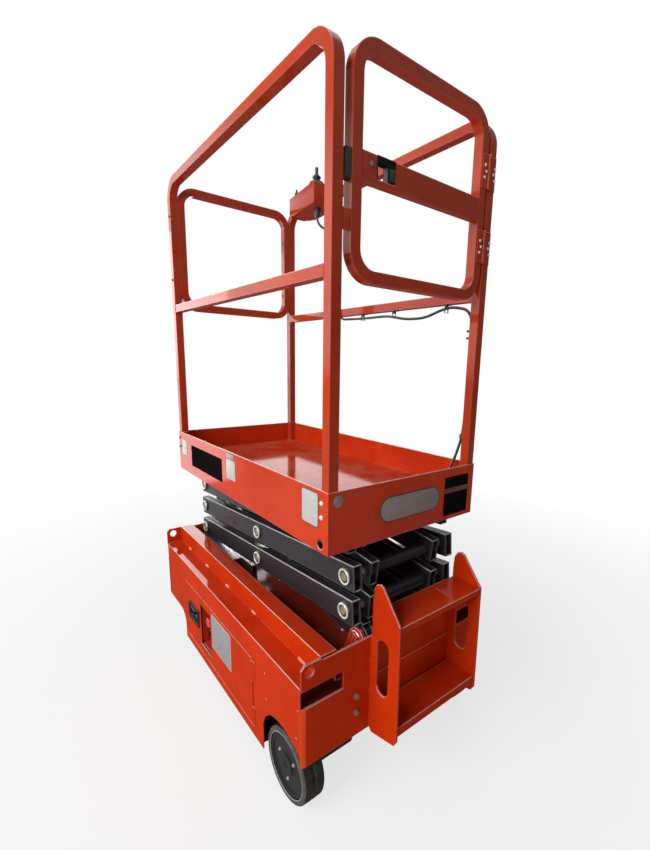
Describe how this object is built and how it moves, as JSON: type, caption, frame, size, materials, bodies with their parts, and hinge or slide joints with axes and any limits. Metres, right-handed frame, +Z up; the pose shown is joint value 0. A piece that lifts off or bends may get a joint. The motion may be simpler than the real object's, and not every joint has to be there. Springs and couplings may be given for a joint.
{
  "type": "mini scissor lift",
  "caption": "Folded mini scissor lift: narrow wheeled chassis, crossed arms, guarded platform with loop gate, boarding step and hung control box.",
  "frame": {"origin": "on the ground at the middle of the overall box, folded", "axes": "+Z up, +X towards the entrance end with gate and step, +Y towards the control box side"},
  "size_m": [1.305, 0.769, 2.076],
  "materials": {
    "orange_paint": "gloss",
    "black_paint": "satin",
    "pin_steel": "satin",
    "chrome_rod": "polished",
    "tyre": "matte",
    "caster_pu": "satin",
    "hub": "satin",
    "black_plastic": "matte",
    "red_plastic": "gloss",
    "rubber": "matte",
    "cable": "satin",
    "zinc": "satin",
    "battery_case": "matte"
  },
  "bodies": {
    "chassis": {"side_box_left": "orange_paint", "side_box_right": "orange_paint", "end_plate_front": "orange_paint", "end_plate_rear": "orange_paint", "chassis_deck": "orange_paint", "equipment_tray": "orange_paint", "base_pivot": "orange_paint", "base_roller_tracks": "orange_paint", "step_side_plates": "orange_paint", "step_treads": "orange_paint", "battery_pack": "battery_case", "power_unit": "battery_case", "door_hinge_knuckles": "orange_paint", "ground_control_pan": "orange_paint", "ground_controls": "red_plastic", "drive_motors": "black_paint", "caster_mounts": "zinc"},
    "left_side_door": {"side_door_left": "orange_paint", "door_latch_left": "black_plastic"},
    "right_side_door": {"side_door_right": "orange_paint", "door_latch_right": "black_plastic"},
    "left_drive_wheel": {"drive_tyre_left": "tyre", "drive_hub_left": "hub"},
    "right_drive_wheel": {"drive_tyre_right": "tyre", "drive_hub_right": "hub"},
    "left_caster_fork": {"caster_fork_left": "zinc"},
    "right_caster_fork": {"caster_fork_right": "zinc"},
    "left_caster_wheel": {"caster_wheel_left": "caster_pu"},
    "right_caster_wheel": {"caster_wheel_right": "caster_pu"},
    "inner_stage_1": {"inner_arms_1": "black_paint", "inner_cross_tubes_1": "black_paint"},
    "outer_stage_1": {"outer_arms_1": "black_paint", "outer_pins_1": "pin_steel", "base_rollers": "black_paint"},
    "inner_stage_2": {"inner_arms_2": "black_paint", "inner_cross_tubes_2": "black_paint"},
    "outer_stage_2": {"outer_arms_2": "black_paint", "outer_pins_2": "pin_steel"},
    "inner_stage_3": {"inner_arms_3": "black_paint", "inner_cross_tubes_3": "black_paint", "platform_rollers": "black_paint"},
    "outer_stage_3": {"outer_arms_3": "black_paint", "outer_pins_3": "pin_steel"},
    "cylinder_barrel": {"lift_cylinder_barrel": "black_paint"},
    "cylinder_rod": {"lift_cylinder_rod": "chrome_rod"},
    "platform": {"platform_tray": "orange_paint", "platform_pivot_brackets": "orange_paint", "platform_roller_tracks": "orange_paint", "guard_left": "orange_paint", "guard_right": "orange_paint", "guard_rear": "orange_paint", "gate_hinges_post": "orange_paint", "control_box": "orange_paint", "control_levers": "rubber", "control_cable": "cable"},
    "gate": {"gate_frame": "orange_paint", "gate_panel": "orange_paint", "gate_latch_grip": "black_plastic", "gate_latch_pad": "black_plastic", "gate_hinges_gate": "orange_paint"}
  },
  "joints": [
    {"name": "lift", "type": "hinge", "parent": "chassis", "child": "inner_stage_1", "pos_m": [0.4935, 0, 0.4825], "axis": [0, 1, 0], "range_deg": [0, 43.92]},
    {"name": "stage_1_cross", "type": "hinge", "parent": "inner_stage_1", "child": "outer_stage_1", "pos_m": [-0.04533, 0, 0.54208], "axis": [0, 1, 0], "range_deg": [-88.34, 0.5]},
    {"name": "stage_2_foot", "type": "hinge", "parent": "outer_stage_1", "child": "inner_stage_2", "pos_m": [0.49484, 0, 0.58792], "axis": [0, 1, 0], "range_deg": [-0.5, 88.34]},
    {"name": "stage_2_cross", "type": "hinge", "parent": "inner_stage_2", "child": "outer_stage_2", "pos_m": [-0.04399, 0, 0.6475], "axis": [0, 1, 0], "range_deg": [-88.34, 0.5]},
    {"name": "stage_3_foot", "type": "hinge", "parent": "outer_stage_2", "child": "inner_stage_3", "pos_m": [0.49619, 0, 0.69333], "axis": [0, 1, 0], "range_deg": [-0.5, 88.34]},
    {"name": "stage_3_cross", "type": "hinge", "parent": "inner_stage_3", "child": "outer_stage_3", "pos_m": [-0.04264, 0, 0.75292], "axis": [0, 1, 0], "range_deg": [-88.34, 0.5]},
    {"name": "platform_pivot", "type": "hinge", "parent": "outer_stage_3", "child": "platform", "pos_m": [0.49753, 0, 0.79875], "axis": [0, 1, 0], "range_deg": [-0.5, 44.42]},
    {"name": "cylinder_pivot", "type": "hinge", "parent": "inner_stage_1", "child": "cylinder_barrel", "pos_m": [0.38417, 0, 0.49459], "axis": [0, 1, 0], "range_deg": [-0.5, 11.02]},
    {"name": "cylinder_slide", "type": "slide", "parent": "cylinder_barrel", "child": "cylinder_rod", "axis": [-0.9831, 0, 0.183], "range_m": [0, 0.3431]},
    {"name": "left_side_door_hinge", "type": "hinge", "parent": "chassis", "child": "left_side_door", "pos_m": [0.241, -0.381, 0.2], "axis": [0, 0, 1], "range_deg": [0, 105]},
    {"name": "right_side_door_hinge", "type": "hinge", "parent": "chassis", "child": "right_side_door", "pos_m": [0.241, 0.381, 0.2], "axis": [0, 0, -1], "range_deg": [0, 105]},
    {"name": "left_drive_wheel_spin", "type": "hinge", "parent": "chassis", "child": "left_drive_wheel", "pos_m": [0.4295, -0.337, 0.11], "axis": [0, 1, 0], "continuous": true},
    {"name": "right_drive_wheel_spin", "type": "hinge", "parent": "chassis", "child": "right_drive_wheel", "pos_m": [0.4295, 0.337, 0.11], "axis": [0, 1, 0], "continuous": true},
    {"name": "left_caster_swivel", "type": "hinge", "parent": "chassis", "child": "left_caster_fork", "pos_m": [-0.5225, -0.23798, 0.2], "axis": [0, 0, 1], "continuous": true},
    {"name": "left_caster_wheel_spin", "type": "hinge", "parent": "left_caster_fork", "child": "left_caster_wheel", "pos_m": [-0.5625, -0.23798, 0.09], "axis": [0, 1, 0], "continuous": true},
    {"name": "right_caster_swivel", "type": "hinge", "parent": "chassis", "child": "right_caster_fork", "pos_m": [-0.5225, 0.23798, 0.2], "axis": [0, 0, 1], "continuous": true},
    {"name": "right_caster_wheel_spin", "type": "hinge", "parent": "right_caster_fork", "child": "right_caster_wheel", "pos_m": [-0.5625, 0.23798, 0.09], "axis": [0, 1, 0], "continuous": true},
    {"name": "gate_hinge", "type": "hinge", "parent": "platform", "child": "gate", "pos_m": [0.533, 0.263, 1.732], "axis": [0, 0, 1], "range_deg": [0, 95]}
  ],
  "couplings": [
    {"joint": "stage_1_cross", "follows": "lift", "ratio": -2},
    {"joint": "stage_2_foot", "follows": "lift", "ratio": 2},
    {"joint": "stage_2_cross", "follows": "lift", "ratio": -2},
    {"joint": "stage_3_foot", "follows": "lift", "ratio": 2},
    {"joint": "stage_3_cross", "follows": "lift", "ratio": -2},
    {"joint": "platform_pivot", "follows": "lift", "ratio": 1},
    {"joint": "cylinder_pivot", "follows": "lift", "ratio": 0.23946},
    {"joint": "cylinder_slide", "follows": "lift", "m_per_rad": 0.44492}
  ]
}
